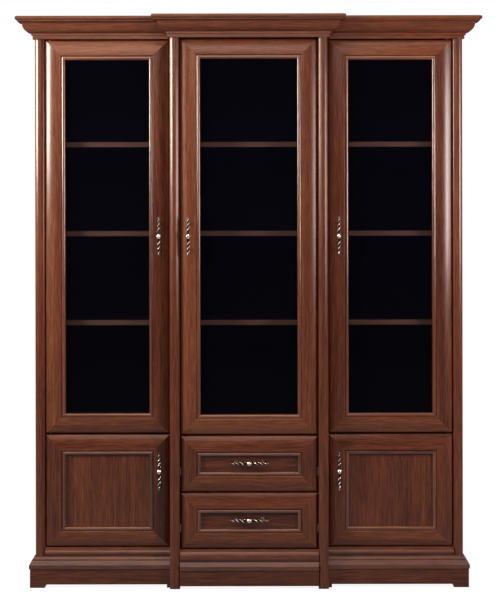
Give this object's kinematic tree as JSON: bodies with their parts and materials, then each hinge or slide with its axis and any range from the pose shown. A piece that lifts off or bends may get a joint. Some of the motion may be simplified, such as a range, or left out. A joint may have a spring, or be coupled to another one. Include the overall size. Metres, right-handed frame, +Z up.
{
  "type": "breakfront bookcase with glazed doors",
  "caption": "Tall dark-brown wooden breakfront bookcase with mitred glazed doors, panel doors, drawers, a crown cornice and a moulded base",
  "frame": {"origin": "on the floor, under the middle of the overall box", "axes": "+X to the right when facing the doors, -Y out of the front, +Z up"},
  "size_m": [1.67, 0.487, 2.056],
  "materials": {
    "case_wood": "satin lacquer, dark walnut brown",
    "door_wood": "satin lacquer, dark walnut brown",
    "inside_board": "matt dark brown",
    "back_board": "matt dark hardboard",
    "drawer_board": "plain light board",
    "pane_glass": "clear float glass",
    "handle_brass": "dark antique brass",
    "bush_brass": "turned brass",
    "hinge_steel": "zinc-plated steel",
    "glide_plastic": "black plastic"
  },
  "bodies": {
    "carcass": {"back_panels": "back_board", "base_mouldings": "case_wood", "bottom_panels": "inside_board", "bottom_rails": "case_wood", "centre_bay_shelves": "inside_board", "centre_cornice": "case_wood", "feet": "case_wood", "glides": "glide_plastic", "inner_posts": "case_wood", "left_bay_shelves": "inside_board", "left_cornice": "case_wood", "left_divider": "inside_board", "left_side_panel": "case_wood", "middle_panels": "inside_board", "outer_posts": "case_wood", "pivot_plates": "hinge_steel", "plinth_boards": "case_wood", "right_bay_shelves": "inside_board", "right_cornice": "case_wood", "right_divider": "inside_board", "right_side_panel": "case_wood", "runner_channels": "hinge_steel", "shelf_pins": "hinge_steel", "top_panel": "case_wood"},
    "left_glass_door": {"left_glass_door_bushes": "bush_brass", "left_glass_door_frame": "door_wood", "left_glass_door_glass": "pane_glass", "left_glass_door_glazing_beads": "door_wood", "left_glass_door_handle": "handle_brass"},
    "centre_glass_door": {"centre_glass_door_bushes": "bush_brass", "centre_glass_door_frame": "door_wood", "centre_glass_door_glass": "pane_glass", "centre_glass_door_glazing_beads": "door_wood", "centre_glass_door_handle": "handle_brass"},
    "right_glass_door": {"right_glass_door_bushes": "bush_brass", "right_glass_door_frame": "door_wood", "right_glass_door_glass": "pane_glass", "right_glass_door_glazing_beads": "door_wood", "right_glass_door_handle": "handle_brass"},
    "left_lower_door": {"left_lower_door_bushes": "bush_brass", "left_lower_door_frame": "door_wood", "left_lower_door_handle": "handle_brass", "left_lower_door_panel": "door_wood"},
    "right_lower_door": {"right_lower_door_bushes": "bush_brass", "right_lower_door_frame": "door_wood", "right_lower_door_handle": "handle_brass", "right_lower_door_panel": "door_wood"},
    "upper_drawer": {"upper_drawer_bottom": "drawer_board", "upper_drawer_box": "drawer_board", "upper_drawer_frame": "door_wood", "upper_drawer_handle": "handle_brass", "upper_drawer_panel": "door_wood", "upper_drawer_runners": "hinge_steel"},
    "lower_drawer": {"lower_drawer_bottom": "drawer_board", "lower_drawer_box": "drawer_board", "lower_drawer_frame": "door_wood", "lower_drawer_handle": "handle_brass", "lower_drawer_panel": "door_wood", "lower_drawer_runners": "hinge_steel"}
  },
  "joints": [
    {"name": "left_glass_door_hinge", "type": "hinge", "parent": "carcass", "child": "left_glass_door", "pos_m": [-0.7204, -0.131, 0.5539], "axis": [0, 0, -1], "range_deg": [0, 100]},
    {"name": "centre_glass_door_hinge", "type": "hinge", "parent": "carcass", "child": "centre_glass_door", "pos_m": [0.2309, -0.162, 0.5539], "axis": [0, 0, 1], "range_deg": [0, 100]},
    {"name": "right_glass_door_hinge", "type": "hinge", "parent": "carcass", "child": "right_glass_door", "pos_m": [0.7204, -0.131, 0.5539], "axis": [0, 0, 1], "range_deg": [0, 100]},
    {"name": "left_lower_door_hinge", "type": "hinge", "parent": "carcass", "child": "left_lower_door", "pos_m": [-0.7204, -0.131, 0.143], "axis": [0, 0, -1], "range_deg": [0, 100]},
    {"name": "right_lower_door_hinge", "type": "hinge", "parent": "carcass", "child": "right_lower_door", "pos_m": [0.7204, -0.131, 0.143], "axis": [0, 0, 1], "range_deg": [0, 100]},
    {"name": "upper_drawer_slide", "type": "slide", "parent": "carcass", "child": "upper_drawer", "axis": [0, -1, 0], "range_m": [0, 0.25]},
    {"name": "lower_drawer_slide", "type": "slide", "parent": "carcass", "child": "lower_drawer", "axis": [0, -1, 0], "range_m": [0, 0.25]}
  ]
}
